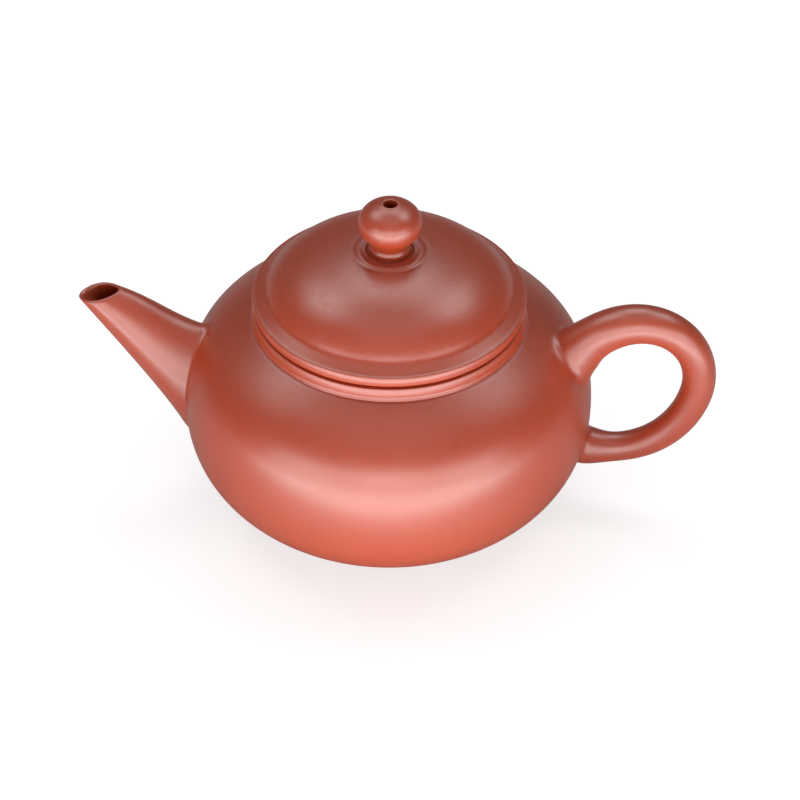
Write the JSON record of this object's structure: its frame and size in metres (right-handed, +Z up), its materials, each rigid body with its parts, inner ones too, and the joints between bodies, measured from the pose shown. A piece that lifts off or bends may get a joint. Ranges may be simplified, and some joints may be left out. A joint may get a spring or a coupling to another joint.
{
  "type": "gongfu teapot",
  "caption": "Small round unglazed red clay teapot with a lift-off domed lid, a pierced round knob, a tapered spout and an ear handle.",
  "frame": {"origin": "centre of the flat base, on the pot's axis", "axes": "+Z up along the pot's axis, +X towards the handle, with the spout along -X"},
  "size_m": [0.1214, 0.078, 0.0678],
  "materials": {
    "clay": "unglazed, fine-grained, burnished to a soft sheen"
  },
  "bodies": {
    "pot": {"base_disc": "clay", "belly_wall": "clay", "shoulder_plate": "clay", "mouth_ring": "clay", "spout": "clay", "strainer": "clay", "handle": "clay"},
    "lid": {"lid_dome": "clay", "lid_rim": "clay", "lid_flange": "clay", "knob_collar": "clay", "knob": "clay"}
  },
  "joints": [
    {"name": "lid_lift", "type": "slide", "parent": "pot", "child": "lid", "axis": [0, 0, 1], "range_m": [0, 0.045]}
  ]
}
